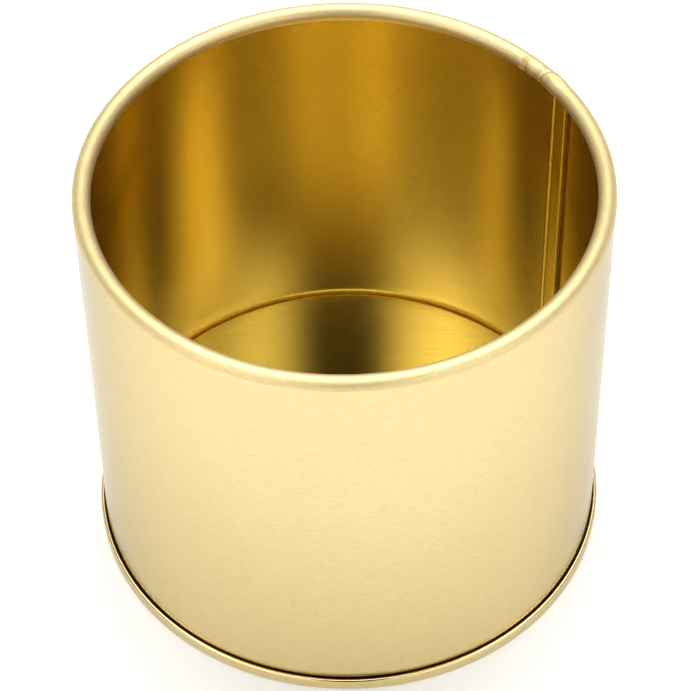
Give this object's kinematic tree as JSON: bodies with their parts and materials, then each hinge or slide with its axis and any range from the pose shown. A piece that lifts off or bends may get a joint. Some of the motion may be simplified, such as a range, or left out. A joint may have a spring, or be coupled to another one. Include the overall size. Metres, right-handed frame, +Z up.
{
  "type": "cookie tin",
  "caption": "Open round tinplate container with a rolled-in rim, a grooved side seam and a double-seamed raised floor, for holding biscuits upright on a table.",
  "frame": {"origin": "centre of the base, on the plane the tin stands on", "axes": "+Z up along the tin's axis and out of the mouth; -Y is the side turned to the viewer, with the side seam at the back right"},
  "size_m": [0.0918, 0.0918, 0.08],
  "materials": {
    "body_tinplate": "satin gold lacquer over tinplate with a fine rolled grain",
    "end_tinplate": "satin gold lacquer over tinplate with a fine rolled grain",
    "compound": "matt grey sealing compound"
  },
  "bodies": {
    "root": {"body_shell": "body_tinplate", "bottom_end": "end_tinplate", "sealing_compound": "compound"}
  },
  "joints": []
}
